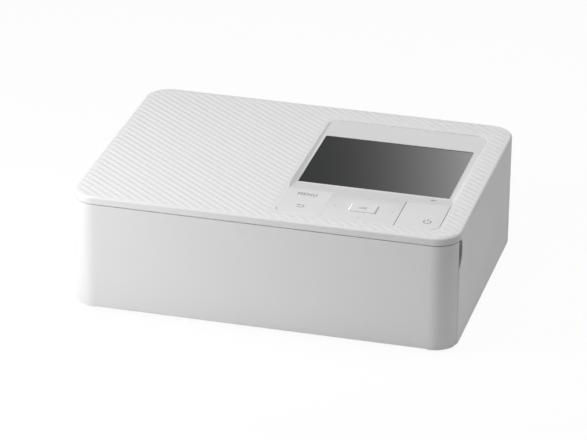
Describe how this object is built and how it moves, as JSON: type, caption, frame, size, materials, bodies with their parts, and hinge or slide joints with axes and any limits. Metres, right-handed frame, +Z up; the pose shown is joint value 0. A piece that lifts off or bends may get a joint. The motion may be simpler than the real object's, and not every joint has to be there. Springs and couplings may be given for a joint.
{
  "type": "compact photo printer",
  "caption": "Flat rounded photo printer with a fold-down front cover, a side ink door, a tilted screen panel, rocking keys and a geared thermal print mechanism inside.",
  "frame": {"origin": "on the table under the middle of the case", "axes": "+X right along the width, +Y towards the back, +Z up; the front cover is at -Y and the ink door at +X"},
  "size_m": [0.1822, 0.133, 0.058],
  "materials": {
    "case_plastic": "fine satin moulding with a shallow relief on the top",
    "panel_plastic": "smooth satin",
    "key_plastic": "smooth satin",
    "screen_plastic": "polished, dark behind the window",
    "inner_plastic": "fine moulded grain, dark",
    "foot_rubber": "matte",
    "roller_rubber": "ground",
    "steel": "zinc plated sheet and ground shafts",
    "heat_sink_aluminium": "extruded",
    "head_ceramic": "glazed line on a ceramic strip",
    "gear_plastic": "unfilled acetal",
    "brass": "turned",
    "dark_plastic": "moulded",
    "circuit_board": "solder mask",
    "cable_film": "film",
    "cassette_plastic": "moulded",
    "ribbon": "coated film",
    "lever_plastic": "moulded"
  },
  "bodies": {
    "root": {"upper_case": "case_plastic", "base_case": "case_plastic", "inner_front_panel": "inner_plastic", "ink_bay_frame": "inner_plastic", "rubber_feet": "foot_rubber", "case_screws": "steel", "control_panel": "panel_plastic", "screen_window": "screen_plastic", "lcd_module": "dark_plastic", "key_carrier": "inner_plastic", "key_board": "circuit_board", "key_switches": "dark_plastic", "flat_cables": "cable_film", "main_board": "circuit_board", "board_parts": "dark_plastic", "card_socket": "steel", "usb_socket": "steel", "power_inlet": "dark_plastic", "cooling_fan": "dark_plastic", "chassis_pan": "steel", "left_side_plate": "steel", "right_side_plate": "steel", "drive_bracket": "steel", "head_pivot_shaft": "steel", "lower_paper_guide": "inner_plastic", "feed_motor": "steel", "cam_motor": "steel", "head_springs": "steel"},
    "front_cover": {"front_cover": "case_plastic"},
    "ink_door": {"ink_door": "case_plastic"},
    "menu_key": {"menu_key": "key_plastic"},
    "arrow_pivot": {"arrow_key_pivot": "inner_plastic"},
    "arrow_key": {"arrow_key": "key_plastic"},
    "ok_key": {"ok_key": "key_plastic"},
    "power_key": {"power_key": "key_plastic"},
    "platen": {"platen_shaft": "steel", "platen_rubber": "roller_rubber", "platen_gear": "gear_plastic"},
    "capstan": {"capstan_roller": "steel", "capstan_gear": "gear_plastic"},
    "pinch": {"pinch_roller": "dark_plastic"},
    "pickup": {"pickup_shaft": "steel", "pickup_tyres": "roller_rubber", "pickup_gear": "gear_plastic"},
    "idler": {"idler_gear": "gear_plastic"},
    "reduction": {"reduction_gear": "gear_plastic"},
    "feed_rotor": {"feed_pinion": "brass"},
    "takeup_hub": {"takeup_drive": "gear_plastic"},
    "supply_hub": {"supply_drive": "gear_plastic"},
    "cam": {"cam_gear": "gear_plastic"},
    "cam_rotor": {"cam_pinion": "brass"},
    "head": {"head_arm": "steel", "heat_sink": "heat_sink_aluminium", "thermal_head": "head_ceramic"},
    "cassette": {"cassette_case": "cassette_plastic", "ribbon_film": "ribbon"},
    "takeup": {"takeup_spool": "gear_plastic"},
    "supply": {"supply_spool": "ribbon"},
    "lever": {"cassette_lever": "lever_plastic"},
    "fan": {"fan_rotor": "dark_plastic"}
  },
  "joints": [
    {"name": "front_cover_hinge", "type": "hinge", "parent": "root", "child": "front_cover", "pos_m": [0, -0.0625, 0.0045], "axis": [1, 0, 0], "range_deg": [0, 90]},
    {"name": "ink_door_hinge", "type": "hinge", "parent": "root", "child": "ink_door", "pos_m": [0.08928, 0.05781, 0.03], "axis": [0, 0, 1], "range_deg": [0, 90]},
    {"name": "menu_key_rock", "type": "hinge", "parent": "root", "child": "menu_key", "pos_m": [0.0146, -0.04425, 0.056], "axis": [1, 0, 0], "range_deg": [-1, 1], "stiffness_Nm_per_rad": 0.2},
    {"name": "arrow_key_tilt", "type": "hinge", "parent": "root", "child": "arrow_pivot", "pos_m": [0.04255, -0.04425, 0.056], "axis": [0, 1, 0], "range_deg": [-0.9, 0.9], "stiffness_Nm_per_rad": 0.2},
    {"name": "arrow_key_rock", "type": "hinge", "parent": "arrow_pivot", "child": "arrow_key", "pos_m": [0.04255, -0.04425, 0.056], "axis": [1, 0, 0], "range_deg": [-1, 1], "stiffness_Nm_per_rad": 0.2},
    {"name": "ok_key_press", "type": "slide", "parent": "arrow_key", "child": "ok_key", "axis": [0, 0, -1], "range_m": [0, 0.0003], "stiffness_N_per_m": 400},
    {"name": "power_key_press", "type": "hinge", "parent": "root", "child": "power_key", "pos_m": [0.07015, -0.0335, 0.056], "axis": [1, 0, 0], "range_deg": [0, 1], "stiffness_Nm_per_rad": 0.2},
    {"name": "platen_turn", "type": "hinge", "parent": "root", "child": "platen", "pos_m": [0, 0.008, 0.017], "axis": [1, 0, 0], "continuous": true},
    {"name": "capstan_turn", "type": "hinge", "parent": "root", "child": "capstan", "pos_m": [0, -0.02997, 0.0191], "axis": [1, 0, 0], "continuous": true},
    {"name": "pinch_turn", "type": "hinge", "parent": "root", "child": "pinch", "pos_m": [0, -0.02997, 0.0273], "axis": [1, 0, 0], "continuous": true},
    {"name": "pickup_turn", "type": "hinge", "parent": "root", "child": "pickup", "pos_m": [0, -0.04391, 0.02695], "axis": [1, 0, 0], "continuous": true},
    {"name": "idler_turn", "type": "hinge", "parent": "root", "child": "idler", "pos_m": [0, -0.01315, 0.01552], "axis": [1, 0, 0], "continuous": true},
    {"name": "reduction_turn", "type": "hinge", "parent": "root", "child": "reduction", "pos_m": [0, 0.02324, 0.0258], "axis": [1, 0, 0], "continuous": true},
    {"name": "feed_motor_turn", "type": "hinge", "parent": "root", "child": "feed_rotor", "pos_m": [0, 0.04204, 0.01896], "axis": [1, 0, 0], "continuous": true},
    {"name": "takeup_hub_turn", "type": "hinge", "parent": "root", "child": "takeup_hub", "pos_m": [0, -0.01249, 0.03431], "axis": [1, 0, 0], "continuous": true},
    {"name": "supply_hub_turn", "type": "hinge", "parent": "root", "child": "supply_hub", "pos_m": [0, 0.02851, 0.03431], "axis": [1, 0, 0], "continuous": true},
    {"name": "cassette_slide", "type": "slide", "parent": "root", "child": "cassette", "axis": [1, 0, 0], "range_m": [0, 0.006]},
    {"name": "takeup_turn", "type": "hinge", "parent": "cassette", "child": "takeup", "pos_m": [0, -0.01249, 0.03431], "axis": [1, 0, 0], "continuous": true},
    {"name": "supply_turn", "type": "hinge", "parent": "cassette", "child": "supply", "pos_m": [0, 0.02851, 0.03431], "axis": [1, 0, 0], "continuous": true},
    {"name": "head_arm_pivot", "type": "hinge", "parent": "root", "child": "head", "pos_m": [0, 0.05, 0.042], "axis": [1, 0, 0], "range_deg": [0, 3.2]},
    {"name": "cam_turn", "type": "hinge", "parent": "root", "child": "cam", "pos_m": [0, 0.008, 0.04], "axis": [1, 0, 0], "range_deg": [0, 160]},
    {"name": "cam_motor_turn", "type": "hinge", "parent": "root", "child": "cam_rotor", "pos_m": [0, 0.01852, 0.04383], "axis": [1, 0, 0], "range_deg": [-288, 0]},
    {"name": "lever_swing", "type": "hinge", "parent": "root", "child": "lever", "pos_m": [0.074, -0.02899, 0], "axis": [0, 0, 1], "range_deg": [0, 18]},
    {"name": "fan_spin", "type": "hinge", "parent": "root", "child": "fan", "pos_m": [0.07, 0.0665, 0.036], "axis": [0, 1, 0], "continuous": true}
  ],
  "couplings": [
    {"joint": "idler_turn", "follows": "platen_turn", "ratio": -1.3043},
    {"joint": "capstan_turn", "follows": "platen_turn", "ratio": 1.5},
    {"joint": "pickup_turn", "follows": "platen_turn", "ratio": -1.5},
    {"joint": "pinch_turn", "follows": "platen_turn", "ratio": -1.4635},
    {"joint": "reduction_turn", "follows": "platen_turn", "ratio": -2.1429},
    {"joint": "feed_motor_turn", "follows": "platen_turn", "ratio": 8.5714},
    {"joint": "takeup_hub_turn", "follows": "platen_turn", "ratio": 1.25},
    {"joint": "takeup_turn", "follows": "platen_turn", "ratio": 1.25},
    {"joint": "supply_hub_turn", "follows": "platen_turn", "ratio": 0.71023},
    {"joint": "supply_turn", "follows": "platen_turn", "ratio": 0.71023},
    {"joint": "cam_turn", "follows": "head_arm_pivot", "ratio": 50},
    {"joint": "cam_motor_turn", "follows": "head_arm_pivot", "ratio": -90}
  ]
}
